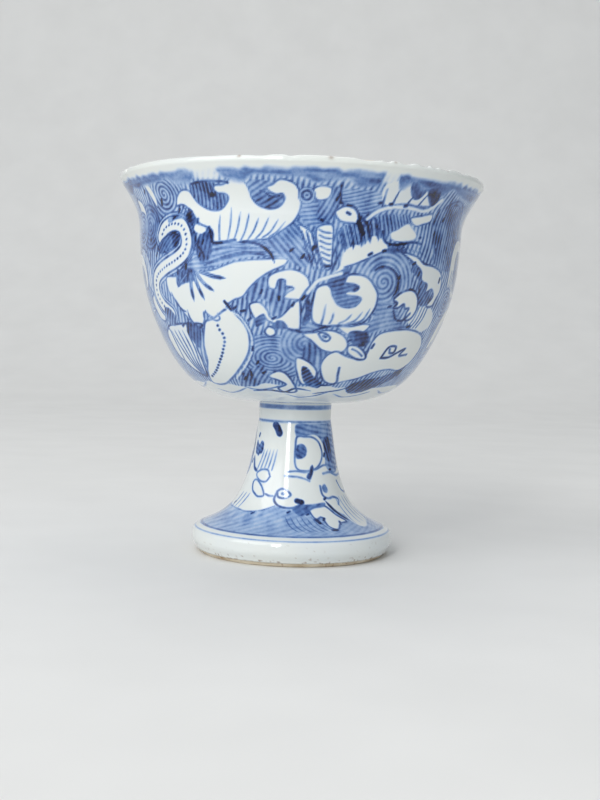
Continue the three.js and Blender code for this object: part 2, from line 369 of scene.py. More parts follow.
def paint_bowl(bowl):
    """Sea creatures over waves, from a blue band under the lip down to the white base."""
    rows, columns = bowl.ink.shape
    x = np.radians(bowl.azimuth)[None, :] * BOWL_FLAT_RADIUS + np.zeros((rows, 1))
    y = bowl.along[:, None] + np.zeros((1, columns))
    bowl.ink[:] = striped(x, y, 0.24, 74, 1.05, 0.66)

    # water: whirls and combed waves
    rings(bowl, -49, 76, 6.4, 0.95, 0.26, 0.7, turns=1)
    rings(bowl, -62, 70, 5, 0.9, 0.45, 0.7)
    rings(bowl, -10, 43.6, 7.6, 1.0, 0.34, 0.66, 0.72, turns=1)
    rings(bowl, 29.5, 59.3, 7.2, 1.05, 0.3, 0.6, turns=1)
    rings(bowl, 62, 72, 6, 0.9, 0.5, 0.75)
    rings(bowl, 3, 46.5, 5, 1.0, 0.38, 0.6, turns=1)
    area(bowl, [(-40, 61), (-37, 65.5), (-29, 66), (-19, 66.2), (-8, 66), (-3, 62.8), (-12, 63.4),
            (-22, 62.6), (-31, 61)], 0.3, stripes=(8, 1.0, 0.55))
    area(bowl, [(-11, 66.5), (-5, 69), (-1, 70.4), (3, 69), (4, 64), (2, 61.5), (-3, 62.5), (-8, 64.5)],
            0.34, stripes=(-48, 1.0, 0.62))
    area(bowl, [(1, 74.5), (6, 75.5), (10, 74), (9, 70), (4, 69.5), (0, 71)], 0.34, stripes=(12, 0.85, 0.6))
    area(bowl, [(12, 76.5), (24, 76.5), (26, 74.5), (20, 72), (14, 74)], 0.3, stripes=(12, 0.7, 0.55))
    area(bowl, [(-16, 57), (-12, 59.4), (-8, 59.2), (-5, 59), (-2, 54.5), (-5, 52.2), (-9, 52), (-11, 55),
            (-18, 55)], 0.34, stripes=(80, 1.15, 0.68))
    area(bowl, [(-19, 41.5), (-14, 42), (-12, 39), (-20, 37.3), (-30, 37.4), (-26, 40)],
            0.4, stripes=(60, 0.9, 0.78))
    area(bowl, [(29, 55), (36, 55), (41, 51.6), (46, 50.4), (31, 49.6), (20, 47), (22, 49.6), (28, 52)],
            0.36, stripes=(14, 1.0, 0.55))
    area(bowl, [(50, 74), (58, 76), (66, 74), (66, 64), (58, 62.6), (51, 64.5), (50, 70)],
            0.4, stripes=(78, 1.0, 0.8))
    area(bowl, [(44, 54.4), (50, 55.2), (58, 54.4), (61, 51.6), (56, 49.8), (49, 50.2), (45, 51.6)], 0.06)
    area(bowl, [(41, 62), (45, 60), (46, 56), (51, 55), (56, 57), (53, 60), (49, 62), (46, 64)],
            0.5, stripes=(66, 0.9, 0.85))

    # bare ground below the water, with loose lines
    shore = SHORE_HEIGHT + 0.5 * cloudy(2, columns, 2, 24)[0][None, :]
    bowl.ink *= np.clip((bowl.height[:, None] - shore) / 0.25 + 0.5, 0.03, 1)
    for start, height in ((-80, 37.4), (-52, 36.6), (-30, 37.6), (-6, 36.2), (22, 36.4), (52, 37.2),
            (74, 36.2)):
        stroke(bowl, [(start, height), (start + 8, height - 0.7), (start + 17, height - 0.3),
                (start + 24, height + 0.5)], 0.5, 0.6, (0.2, 0.5))

    # narrow crests at the left edge of the view
    area(bowl, [(-58.6, 78.6), (-55.8, 78.2), (-54.4, 76), (-54.8, 73.6), (-57, 75.4)], WHITE, 0.4, 0.6)
    area(bowl, [(-71, 76), (-66.4, 75), (-64.8, 71.4), (-65.4, 67.4), (-68.6, 68.6), (-70.4, 72)],
            WHITE, 0.45, 0.7)
    area(bowl, [(-74, 66), (-67, 64.8), (-63.6, 60.8), (-64.8, 56.4), (-70, 58.6), (-73.6, 62.4)],
            0.1, 0.45, 0.75, stripes=(76, 1.2, 0.55))
    area(bowl, [(-69, 55), (-64, 56.2), (-60.4, 53.4), (-61.6, 50.6), (-66.6, 51.4)], WHITE, 0.45, 0.7)

    # great wave crests, left in white, with brushed ribs
    crest = [(-44, 73.6), (-43, 75.2), (-40, 76.4), (-37, 76.2), (-35.5, 74.8), (-34, 73.7), (-30, 72.5),
            (-26.3, 72.4), (-24, 73.5), (-23, 74.7), (-24, 75.4), (-26.2, 75.5), (-27.6, 76.2),
            (-26.8, 77), (-23.8, 77.1), (-21, 78.2), (-18.2, 78), (-16.3, 76.9), (-15, 74.5),
            (-12.8, 73.1), (-9.6, 72.6), (-6.7, 73), (-5.1, 74.3), (-5.6, 75.3), (-7.5, 75.2),
            (-9.6, 75.8), (-10.4, 76.6), (-8.6, 77), (-6.5, 77.9), (-3.9, 77.8), (-1.3, 76.9), (0, 75),
            (0, 72.7), (-1.7, 70.4), (-4.7, 68.8), (-9.5, 66.9), (-13.8, 66.5), (-20.3, 66), (-25, 66),
            (-28.7, 66.2), (-29, 67.8), (-30, 68.8), (-34, 69.8), (-37, 71.8), (-39.7, 73.3),
            (-41.8, 73.7)]
    area(bowl, [(-35, 77.5), (-28, 77.6), (-23, 75.2), (-24, 72.6), (-31, 72.2), (-35.5, 74)],
            0.42, stripes=(84, 0.9, 0.85))
    area(bowl, [(-16, 77.5), (-10, 77.6), (-4.6, 75.4), (-6, 72.6), (-13, 72.6), (-16, 75)],
            0.4, stripes=(28, 1.0, 0.7))
    area(bowl, crest, WHITE, 0.45)
    ribs = [((-26.5, 66.3), (-26.6, 69), (-26.2, 71.5)), ((-23.6, 66.4), (-22.6, 69.5), (-22.3, 72.8)),
            ((-21.4, 66.4), (-20, 69), (-19.2, 72)), ((-19, 66.4), (-17.4, 68.5), (-16.2, 71.8)),
            ((-16.6, 66.6), (-14.6, 68.4), (-13, 71)), ((-14, 66.8), (-11.8, 68.3), (-9.8, 71)),
            ((-11.8, 67), (-9.2, 68.2), (-6.8, 70.6)), ((-9.6, 67.2), (-7.2, 68.2), (-4.6, 70.2))]
    for rib in ribs:
        stroke(bowl, rib, 0.42, 0.62, (0.9, 0.1))
    stroke(bowl, [(-35.5, 77.4), (-30, 77.8), (-25.5, 77.7), (-22.4, 77.4)], 0.8, 0.85)
    spot(bowl, -28.5, 75.2, 1.6, 0.95)
    spot(bowl, -27.2, 73.3, 0.8, 0.8, 2, 80)
    spot(bowl, -51.5, 74.6, 1.0, 0.95, 1.8, 70)
    stroke(bowl, [(-12.5, 76), (-11, 75.6), (-9, 74.8), (-6.4, 74.9)], 0.5, 0.8)

    # long neck with a dotted line, in a loop at its top
    neck = [(-53.5, 67.6), (-51.5, 69.2), (-47, 70.1), (-42.5, 69.7), (-40.3, 67.8), (-40.2, 65.6),
            (-42, 64.1), (-46, 62.8), (-53, 61.4), (-58.5, 60), (-61, 58.3), (-61.5, 56), (-59, 53.8),
            (-54.5, 52.2)]
    stroke(bowl, neck, 6.2, 0.7)
    cover(bowl, neck, 4.2, 0.12)
    stroke(bowl, neck, 4.5, 0.74)
    cover(bowl, neck, 2.7, WHITE)
    dots(bowl, neck, 34, 0.5, 0.97)
    area(bowl, [(-56, 65.3), (-52.5, 67.2), (-46.5, 68.2), (-43.3, 67.5), (-44.3, 66.3), (-48, 65.1),
            (-54, 64.4)], 0.55, 0.4, 0.85, stripes=(40, 0.8, 0.8))
    stroke(bowl, [(-41.5, 61.3), (-38.8, 63.5), (-37, 66), (-37, 68.4), (-39.5, 70.9), (-44, 71.5),
            (-48.5, 70.8)], 1.4, 0.5)
    stroke(bowl, [(-43.5, 61), (-38.2, 63.6), (-36, 66), (-36.2, 68.4), (-38.8, 71.5), (-41, 73.3)],
            0.5, 0.72)
    spot(bowl, -34, 68.7, 1.3, WHITE)
    cover(bowl, [(-35.3, 68.9), (-33, 68.5)], 1.5, WHITE)
    area(bowl, [(-38.5, 72.9), (-36.6, 72), (-36, 70.4), (-38, 69.8), (-40.2, 71.2)],
            0.72, stripes=(30, 0.8, 0.9))
    area(bowl, [(-34.5, 67.4), (-31, 68.2), (-29.4, 66.4), (-30.5, 63), (-34.8, 62.6), (-36, 65.4)],
            0.55, stripes=(75, 0.95, 0.75))
    stroke(bowl, [(-36, 66), (-33.6, 64.4), (-32.2, 62.6)], 0.9, 0.85, (0.2, 0.2))

    # wing: a white body with spread feathers over three lobes
    wing = [(-29.5, 60.8), (-20.8, 62.4), (-9.3, 63), (-3.8, 63), (-4.7, 61.8), (-9.3, 60.5),
            (-13.4, 58.9), (-16.5, 57.2), (-19, 55.6), (-22, 55), (-25, 54), (-26.7, 52.5), (-29.5, 51.3),
            (-32.5, 51.5), (-35.8, 52.4), (-36.6, 50.6), (-39.5, 49.6), (-43.3, 50.4), (-46.8, 52.6),
            (-49.5, 54.9), (-52.5, 56.7), (-52.3, 59.4), (-47, 59.6), (-40, 60)]
    area(bowl, wing, WHITE, 0.4, 0.55)
    area(bowl, [(-44, 60.6), (-36.4, 60.6), (-38, 58.6), (-42, 58.2), (-46.4, 57.6), (-46.6, 59.4)],
            0.5, stripes=(70, 0.9, 0.7))
    for feather in [((-41, 60), (-44.5, 58.4), (-46.5, 57.4)),
            ((-39, 60.2), (-39.6, 57.2), (-39.3, 54.5)), ((-38, 60.2), (-36.2, 57.2), (-34.3, 54.8)),
            ((-36.8, 60.2), (-33.4, 58), (-29.8, 56.6)), ((-34.5, 60.4), (-29.6, 59.5), (-24.8, 59.1))]:
        stroke(bowl, feather, 1.0, 0.72, (1, 0.1))
        cover(bowl, feather[:2], 0.3, 0.3)
    stroke(bowl, [(-33, 61.6), (-26, 63), (-19, 64), (-14, 64), (-9, 63.3)], 1.0, 0.6, (0.4, 0.2))
    stroke(bowl, [(-38.5, 62.6), (-30, 64.6), (-23, 65), (-16, 65.2)], 0.6, 0.6)
    stroke(bowl, [(-19.4, 66.1), (-15.6, 66.1), (-12, 65.4), (-9.2, 64), (-7.8, 62.2)],
            0.85, 0.92, (0.6, 0.1))
    stroke(bowl, [(-30.5, 69), (-29.6, 67), (-28.8, 66), (-25, 66.1), (-21, 66.5)], 0.9, 0.8)

    # tail: a white plume with a row of dabs, and a striped one behind it
    area(bowl, [(-38.5, 50), (-42, 48.5), (-45.5, 45.5), (-46, 42.3), (-50, 39.2), (-60, 41.6),
            (-63, 45.5), (-62, 49.2), (-52, 50)], 0.06, 0.5, 0.85)
    for step in range(5):
        stroke(bowl, [(-60 + 3 * step, 48.6), (-57.5 + 2.6 * step, 45), (-55 + 1.6 * step, 41.6),
                (-51 + 0.3 * step, 39)], 0.55, 0.75, (0.3, 0.8))
    area(bowl, [(-46, 50.4), (-40, 49.4), (-41.5, 46.4), (-44.5, 45.2), (-47.8, 48)],
            0.6, stripes=(60, 0.9, 0.8))
    plume = [(-32, 51.2), (-25.4, 53.2), (-22.3, 52), (-19.5, 50.1), (-18.3, 47.8), (-19.6, 44.7),
            (-24, 42), (-31, 39.5), (-40, 37.8), (-49, 37.9), (-46.5, 40.2), (-42.3, 42.7), (-40.8, 45.7),
            (-38, 48.9), (-36, 50.6)]
    area(bowl, plume, WHITE, 0.5, 0.6)
    stroke(bowl, [(-26, 54.6), (-23, 53.2), (-20.2, 51.6), (-17.8, 49.6), (-16.6, 47.4), (-17.8, 44.4),
            (-22, 41.6), (-29, 38.9)], 0.45, 0.75)
    cover(bowl, [(-27.4, 53.7), (-24, 52.6), (-21, 51.6), (-18.6, 49.6), (-17.5, 47.4), (-18.7, 44.4),
            (-23, 41.7), (-30, 39.1)], 0.35, 0.1)
    for lobe in [((-30, 52.2), (-29.3, 51.2), (-31.2, 50.8), (-34, 51.6), (-35, 52.8)),
            ((-36, 51.4), (-38, 49.8), (-41.4, 49.9), (-43.6, 51.2), (-44, 52.8)),
            ((-44.6, 52.4), (-47, 53), (-49.6, 54.6), (-51, 56.4))]:
        stroke(bowl, lobe, 0.5, 0.7, (0.4, 0.4))
    stroke(bowl, [(-26.2, 54.6), (-24, 53)], 0.7, 0.95)
    dots(bowl, [(-31, 50.1), (-30.5, 49), (-29.5, 48.2), (-29.2, 47.2), (-29.8, 46.2), (-31, 45.2),
            (-32.5, 44), (-34.5, 42.9), (-36.5, 41.9), (-39.5, 40.7), (-42.5, 39.9), (-46, 39.2)],
            17, 0.64, 0.97)
    area(bowl, [(-59, 53.2), (-54.6, 53), (-52, 51), (-55.6, 49.6), (-60, 50.6)],
            0.42, stripes=(50, 0.9, 0.8))
    area(bowl, [(-66, 47.4), (-61.6, 49), (-60.6, 46), (-61, 42.6), (-64.6, 43.4)], WHITE, 0.45, 0.7)

    # middle: curling crests between the creatures
    area(bowl, [(-10, 59.2), (-8, 60.3), (-3.8, 61), (0, 60.8), (3.2, 59.4), (3.8, 57.2), (1.8, 55.4),
            (-1.5, 55.3), (-4.8, 55.5), (-3.7, 56.5), (-1.5, 57.4), (-4.2, 57.9), (-4.4, 58.9),
            (-6.5, 58.9), (-7.6, 57.2), (-9.8, 57.5)], WHITE, 0.4, 0.6)
    spot(bowl, -2.6, 57.6, 0.6, 0.9, 2)
    area(bowl, [(-17, 53.9), (-13.5, 54.6), (-10.7, 53.2), (-9.5, 51.7), (-6.2, 51.8), (-3, 53.6),
            (-1, 54.8), (0.8, 54.8), (1.2, 50), (0, 49.4), (-3.5, 49.6), (-5.8, 50.6), (-8, 50.5),
            (-10.5, 51), (-12.3, 52), (-15.2, 51.3)], WHITE, 0.45, 0.7)
    area(bowl, [(-12, 49), (-10.4, 49.9), (-8.2, 49.4), (-8, 48.4), (-10, 47.9), (-11.6, 48.3)],
            WHITE, 0.45, 0.7)
    area(bowl, [(-15.6, 51), (-12, 52.4), (-11.6, 50.8), (-14.8, 49.8)], 0.7, stripes=(20, 0.8, 0.9))
    area(bowl, [(-7.6, 51), (-5, 51), (-3.4, 49.6), (-8.2, 49.6)], 0.75)
    stroke(bowl, [(-6, 50), (-1, 49.2), (4, 49), (9, 49.9), (13, 50.4), (17, 50.2)], 0.75, 0.85, (0.4, 0.8))

    # long-beaked head, barred neck and white body
    area(bowl, [(5.2, 71), (6.2, 74.6), (9.6, 77), (11.8, 76.4), (12.2, 73.4), (9, 70.6)],
            0.4, stripes=(62, 0.9, 0.7))
    area(bowl, [(3.6, 76.2), (6, 77), (9.2, 76.6), (8.4, 74.8), (5, 74.4)], WHITE, 0.4)
    rings(bowl, 1.8, 75.2, 1.7, 0.9, 0.3, 0.8)
    area(bowl, [(13.4, 69.6), (17, 70.2), (20.5, 69.6), (23, 70.4), (26, 72.2), (30, 72.6), (36, 72.8),
            (39, 71.2), (34, 70.2), (30, 68.8), (27, 67.6), (24, 66), (18, 64.6), (14, 65.6), (12, 68)],
            0.32, stripes=(104, 0.85, 0.72))
    area(bowl, [(14.8, 65), (18, 66.2), (20.8, 66.2), (23.6, 68), (26.5, 67.9), (29.5, 66.2), (28, 65.1),
            (23.3, 64), (18.8, 62.7), (15.5, 61.8), (14.8, 60.2), (11.6, 60.4), (13, 61.7), (13.8, 63.6)],
            WHITE)
    for tip in [(14.6, 64.8), (17.4, 65.4), (20.2, 65.8), (23, 66.6), (26, 67.2)]:
        stroke(bowl, [(tip[0] - 1.6, tip[1] + 4.4), (tip[0] - 0.5, tip[1] + 2.2), tip],
                1.0, 0.72, (0.8, 0.1))
    area(bowl, [(5.4, 69.2), (10.2, 69.8), (10.6, 66.2), (10.4, 61.9), (8.6, 61.3), (6.8, 63.4),
            (5.4, 66.2)], WHITE, 0.45, 0.66)
    for step in range(7):
        low = 68.7 - 1.08 * step
        start = 5.7 + 0.32 * step
        stroke(bowl, [(start, low + 0.2), (start + 2, low - 0.35), (10.1, low - 0.45)],
                0.5, 0.62, (0.7, 0.4))
    stroke(bowl, [(11.6, 69), (12, 66), (11.8, 62.4)], 0.7, 0.6)
    stroke(bowl, [(13.2, 68.6), (13.4, 65.6), (12.8, 62)], 0.5, 0.5)
    stroke(bowl, [(14.9, 61.8), (19, 62.7), (24, 64.1), (28.6, 65.4)], 0.5, 0.7)
    head = [(10.8, 72.2), (12, 73), (14.3, 73.6), (17, 73.2), (18.3, 72.2), (18.8, 71.1), (19.8, 70),
            (18.2, 70.2), (16.8, 70.3), (14.2, 70.4), (12.2, 70.8)]
    area(bowl, head, WHITE, 0.5, 0.62)
    stroke(bowl, [(14.5, 73.8), (17.2, 73.4), (18.5, 72.3), (19.2, 70.8)], 0.6, 0.85)
    stroke(bowl, [(18.4, 71), (19.4, 69.8), (20.5, 68.4)], 1.4, 0.9, (0.3, 0.7))
    spot(bowl, 15.2, 72.2, 0.7, 0.95, 1.9, -25)
    spot(bowl, 6.8, 70.6, 0.9, 0.95, 1.4, -40)
    stroke(bowl, [(12.2, 77.8), (12, 75.8), (12.6, 74)], 0.7, 0.88)
    area(bowl, [(-0.6, 69.6), (2.6, 68.8), (5, 66.8), (4.8, 64), (1.6, 66.8)], WHITE, 0.4, 0.6)
    for step in range(3):
        stroke(bowl, [(0.6 + 1.5 * step, 68.4), (2.2 + 1.6 * step, 65), (5 + 1.4 * step, 61)],
                0.6, 0.72, (0.4, 0.6))

    # finned back and head of the next creature
    stroke(bowl, [(20.8, 71.2), (25, 73), (29.6, 74.1), (35.7, 74.4), (41, 74.2), (45, 74.6),
            (49.5, 76.4)], 1.9, 0.55)
    cover(bowl, [(21.5, 71.3), (25, 72.9), (29.6, 73.9), (35.7, 74.2), (43, 73.9), (47, 74.8),
            (50.5, 76.6)], 0.7, 0.1)
    fins = [(25.5, 77.6), (30, 78.8), (36, 78.6), (42, 77.6), (47.4, 77.6), (46, 75.4), (40, 74.9),
            (34, 75), (27, 74.4)]
    area(bowl, fins, 0.05)
    area(bowl, [(34.6, 79.4), (41.6, 79), (40.6, 76.6), (37.8, 75.8), (35.4, 77)],
            0.62, stripes=(90, 1.0, 0.7))
    for foot, tip in [((26.4, 74), (26.6, 77.2)), ((30, 74.8), (31.2, 77.4)), ((35.6, 75), (37.4, 76.8)),
            ((40.4, 75), (43, 77.4))]:
        stroke(bowl, [foot, tip], 0.55, 0.85, (1, 0.5))
    for azimuth in (25.4, 29.4, 35):
        spot(bowl, azimuth, 74.5, 0.9, 0.95, 1.6, 10)
    area(bowl, [(42, 78), (47.5, 78.4), (48.4, 76), (45.4, 75.2)], 0.9)
    area(bowl, [(38, 72.2), (43, 73), (48, 73.6), (47.8, 72.1), (44, 71.3), (40.5, 70.8)], WHITE, 0.4)
    area(bowl, [(30.2, 69), (32.8, 69.8), (37, 71.2), (39, 70.4), (41.2, 69.3), (40.8, 68.3),
            (37.3, 67.6), (33.2, 67.4), (30.7, 67.8)], WHITE, 0.3, 0.5)
    stroke(bowl, [(27.4, 69.2), (28.2, 67.4), (31.4, 66.7), (36, 67.1), (40, 67.6), (43.6, 67.4)], 0.8, 0.8)
    for step in range(8):
        start = 31 + 1.7 * step
        stroke(bowl, [(start, 66.5), (start + 1.4, 65.4)], 0.45, 0.66)
    spot(bowl, 28.4, 65.4, 0.9, 0.95, 1.5, 20)
    spot(bowl, 43, 68.6, 0.8, 0.85, 1.6, 30)
    stroke(bowl, [(30, 65.6), (36, 65.6), (40, 64), (42.6, 61.6)], 1.2, 0.6)
    stroke(bowl, [(25.8, 61.6), (28.4, 62.4), (32, 62), (35, 60.4), (35.4, 58), (33.6, 56)],
            0.8, 0.8, (1, 0.3))

    # crest in the middle of the right side, and the small one beyond it
    curl = [(15.5, 58.8), (16.3, 60.3), (19.5, 60.6), (23.2, 60.1), (26, 58.6), (28, 56.8), (28, 54.5),
            (26.5, 52.6), (24.2, 51.2), (19.8, 50.8), (14.8, 50.5), (9.7, 50.3), (6, 50.8), (4.7, 52.7),
            (5.2, 56), (6.2, 57.7), (9, 58.4), (10.8, 57.8), (11.8, 56.2), (13.7, 54.7), (16.5, 54.1),
            (20, 54.4), (21.8, 55.7), (20.5, 56.2), (18.3, 56.3), (16, 56.5), (16.5, 57.2), (19.4, 57.4),
            (20.4, 58.1), (18.4, 58.6)]
    area(bowl, [(10, 59.6), (16, 61), (21, 58), (22, 54.6), (16, 53.4), (11.6, 55)],
            0.55, stripes=(20, 0.9, 0.8))
    area(bowl, curl, WHITE, 0.5, 0.66)
    for rib in [((8.6, 50.6), (9.2, 52.4), (9.6, 54.6)), ((11.6, 50.8), (12.4, 51.8), (12.6, 53)),
            ((15, 50.9), (17.6, 51.6), (19.4, 52.8)), ((18, 50.9), (21, 51.6), (23.4, 53.4)),
            ((21, 51), (24, 51.8), (26, 54))]:
        stroke(bowl, rib, 0.6, 0.5, (0.9, 0.2))
    stroke(bowl, [(1.2, 55.4), (3.6, 57.4), (7, 59.2), (12, 60.2), (16, 61.4)], 1.2, 0.55)
    cover(bowl, [(3.2, 56.6), (6, 58.8), (9, 59.6), (14, 60.6)], 0.7, 0.1)
    spot(bowl, 1.6, 55.6, 0.9, 0.98, 1.8, 50)
    stroke(bowl, [(3.2, 55), (3.6, 52.6), (2.6, 50.6)], 1.4, 0.66)
    area(bowl, [(15, 50.2), (20, 50.4), (25, 51), (27.4, 50.6), (25, 49.2), (20.6, 48.6), (17.4, 49.2)],
            WHITE, 0.4, 0.6)
    small = [(34.8, 56), (38, 57.6), (42.5, 58.2), (46, 57), (47.5, 54.6), (46, 52.6), (43, 52),
            (42.4, 53.4), (43, 54.4), (41, 54.4), (40, 55.2), (37.6, 54.4), (35.6, 54.4), (36.8, 55.3)]
    area(bowl, small, WHITE, 0.55, 0.8)
    stroke(bowl, [(36, 53.8), (38, 52.2), (41.6, 52), (44.4, 53.4)], 0.8, 0.8)
    for step in range(4):
        stroke(bowl, [(48.6 + 1.8 * step, 54.8), (47.6 + 1.8 * step, 52.4), (45.4 + 1.8 * step, 50.6)],
                0.5, 0.7)
    area(bowl, [(35.5, 65.4), (42.5, 64.8), (46.5, 63.6), (52.5, 63.2), (58, 62), (60, 59), (58, 56.6),
            (56.5, 55.2), (52.6, 55.2), (55.5, 57.1), (53.5, 58.6), (50, 57.8), (50, 59.4), (46.4, 60.2),
            (45.4, 62), (41, 63.6)], 0.04, 0.45, 0.75)

    # horned head looking left over a white body
    area(bowl, [(4.6, 42.6), (2.4, 44.4), (4, 47), (9, 46), (13, 45.2), (12.4, 43), (9.6, 41.4),
            (10.4, 39.4), (6.6, 38.4)], 0.42, stripes=(96, 1.1, 0.7))
    area(bowl, [(2, 48.6), (6.5, 49), (12, 49.5), (16, 49), (18.8, 48), (20.2, 46.3), (17.6, 45),
            (12.3, 45.2), (9, 45.8), (5.5, 47.3)], WHITE, 0.45, 0.66)
    stroke(bowl, [(8, 48.7), (9.2, 49), (11.4, 48.6), (12.6, 47.9), (11.4, 47.3), (9.4, 47.7), (8, 48.7)],
            0.6, 0.72)
    spot(bowl, 10.4, 48.2, 0.8, 0.66, 1.8, -15)
    body = [(10.4, 42), (12, 44.2), (16, 45.3), (21, 44.4), (26.6, 43.9), (29.5, 44.8), (30.4, 47.4),
            (34, 49.4), (46, 50.2), (57, 49.2), (62, 46.6), (60, 43.4), (54, 41.6), (46, 41.8),
            (38, 41.2), (30, 39.8), (24, 39.2), (18, 38.6), (13, 39.4)]
    area(bowl, body, WHITE, 0.45, 0.66)
    area(bowl, [(20.6, 46.5), (24.6, 46.5), (29, 45), (29.4, 43.9), (25.4, 43.9), (21, 45)],
            WHITE, 0.5, 0.75)
    stroke(bowl, [(22.4, 45.9), (25, 45.4), (27.8, 44.5)], 0.5, 0.66)
    area(bowl, [(19.4, 49), (22, 49.6), (27, 49.2), (29.4, 47.4), (27, 46.4), (22, 47)],
            0.62, stripes=(10, 0.9, 0.75))
    spot(bowl, 26, 46.7, 1.1, 0.9, 1.8, 15)
    stroke(bowl, [(37.6, 44.2), (39.6, 46.4), (43.4, 46.6), (43.6, 45.4), (41.4, 45.3), (40.6, 46)],
            0.7, 0.85)
    stroke(bowl, [(37.6, 44.2), (42, 44.4), (46, 45.4), (50, 46.2), (48, 44.8), (53, 45)], 0.7, 0.8)
    stroke(bowl, [(19, 42), (19.4, 40.4), (20, 38.9), (16, 38.3), (10, 38.3)], 0.7, 0.72)
    area(bowl, [(27, 38), (33, 39.4), (42, 40), (51, 41.2), (58, 41.6), (54, 39.6), (46, 38), (39, 36.8),
            (31, 36.6)], 0.58, stripes=(70, 1.0, 0.98))
    stroke(bowl, [(10, 36.4), (17, 36.8), (25, 37.4), (30, 38.4)], 0.5, 0.9, (0.4, 1))

    # lower left crest and the white base
    area(bowl, [(0, 43.8), (5.6, 43), (9.4, 41), (8, 39), (3, 38.4), (0.4, 40.6)], WHITE, 0.5, 0.75)
    area(bowl, [(2.6, 42), (5, 41.8), (9.2, 39.6), (13, 38.6), (11, 37.6), (5, 38.4), (2.8, 40)],
            0.6, stripes=(40, 0.9, 0.9))
    area(bowl, [(-12.6, 39.8), (-9, 40.9), (-5, 40.7), (-1.5, 38.9), (0.4, 36.8), (-6, 36.6), (-9, 37.4),
            (-5, 38.2), (-8, 39)], WHITE, 0.5, 0.7)
    stroke(bowl, [(-24, 36.6), (-14, 36.9), (-6, 36.6), (0, 37.4), (8, 37)], 0.7, 0.8, (0.4, 0.4))

    # dark accents where the brush first touches down
    for azimuth, height, lean in ((-43, 72.6, 60), (-46, 71.2, 20), (-35, 70.4, 80), (-33, 66.2, 70),
            (-34.6, 63.6, 60), (-45.4, 60.4, 70), (-41, 61.4, 80), (-49, 49.8, 30), (-22.4, 53.4, 30),
            (-19.6, 52.8, 10), (-17.4, 51.2, 40), (-12.4, 56.6, 70), (-6.4, 55.4, 80), (-1.6, 54.4, 60),
            (-8.2, 51.6, 30), (-17.6, 45.4, 70), (-16.6, 42.6, 50), (-14.4, 40.6, 20), (-21, 40.2, 70),
            (-25, 39.2, 40), (4.4, 65.2, 70), (1.2, 63.6, 60), (-2.4, 64.8, 40), (9.2, 61.9, 10),
            (11.2, 74.8, 70), (23.4, 64.6, 30), (35.6, 60.4, 70), (41.4, 63.4, 30), (44.4, 61.4, 60),
            (46.4, 58.2, 70), (33.8, 54.6, 20), (20.6, 47.6, 30), (31.4, 46.6, 70), (46, 50.8, 20),
            (52, 66.4, 80), (50.4, 69.8, 70), (55, 72.8, 60), (57.6, 60.6, 80), (-61.6, 67.4, 80),
            (-63, 73.4, 70), (-57.4, 64.2, 60), (-60.4, 77, 40)):
        spot(bowl, azimuth, height, 0.75, 0.96, 2.0, lean)

    # waves at the edge of the view, between the creatures of the two halves
    for azimuth, height, size in ((74, 65, 1.5), (-77, 60, 1.6), (79, 50, 1.6), (85, 73, 1.1),
            (-88, 46, 1.3)):
        shape = [(-6, -2.2), (-5.4, 1), (-2.4, 3), (2, 3), (4.8, 1), (4.2, -1), (1.8, -1.6), (2.4, 0.4),
                (0, 1.4), (-2, 0), (-1.6, -2.2), (1, -4), (5, -4.4), (-1, -5.4), (-5, -4.2)]
        area(bowl, [(azimuth + size * across, height + size * rise) for across, rise in shape],
                WHITE, 0.5, 0.7)
        for step in range(5):
            start = azimuth + size * (1.2 * step - 4.6)
            stroke(bowl, [(start, height - size * 4), (start + 0.6, height - size * 2.6),
                    (start + 1.2, height - size * 1.4)], 0.5, 0.6)
        spot(bowl, azimuth + size * 1.4, height + size * 0.2, 0.8, 0.95, 1.8, 40)
    for azimuth, height in ((68, 56), (-70, 70), (-79, 53), (73, 43.5)):
        rings(bowl, azimuth, height, 3.6, 0.9, 0.32, 0.64, turns=1)

    # uneven wash, then the dark band under the lip and the bare white lip
    bowl.ink *= 1 + 0.26 * cloudy(rows, columns, 26, 60) + 0.14 * cloudy(rows, columns, 70, 150)
    streak = cloudy(rows, columns, 90, 26)
    ragged = BAND_HEIGHT + 0.9 * cloudy(2, columns, 2, 40)[0][None, :]
    gap = (np.exp(-((bowl.azimuth + 29) / 4.6) ** 4) + np.exp(-((bowl.azimuth - 27) / 2.6) ** 4))[None, :]
    lowest = ragged + BAND_GAP_RISE * gap
    high = np.clip((bowl.height[:, None] - 77.4) / 1.2, 0, 1)
    bowl.ink *= 1 - 0.85 * high * gap
    band = np.clip((bowl.height[:, None] - lowest) / 1.3 + 0.5, 0, 1)
    shade = 0.56 + 0.18 * streak + 0.14 * cloudy(rows, columns, 6, 14)
    bowl.ink[:] = np.maximum(bowl.ink * (1 - 0.4 * band), band * shade)
    top = LIP_HEIGHT + 0.3 * cloudy(2, columns, 2, 90)[0][None, :]
    bare = np.clip((bowl.height[:, None] - top) / 0.9 + 0.5, 0, 1)
    bowl.ink *= 1 - bare



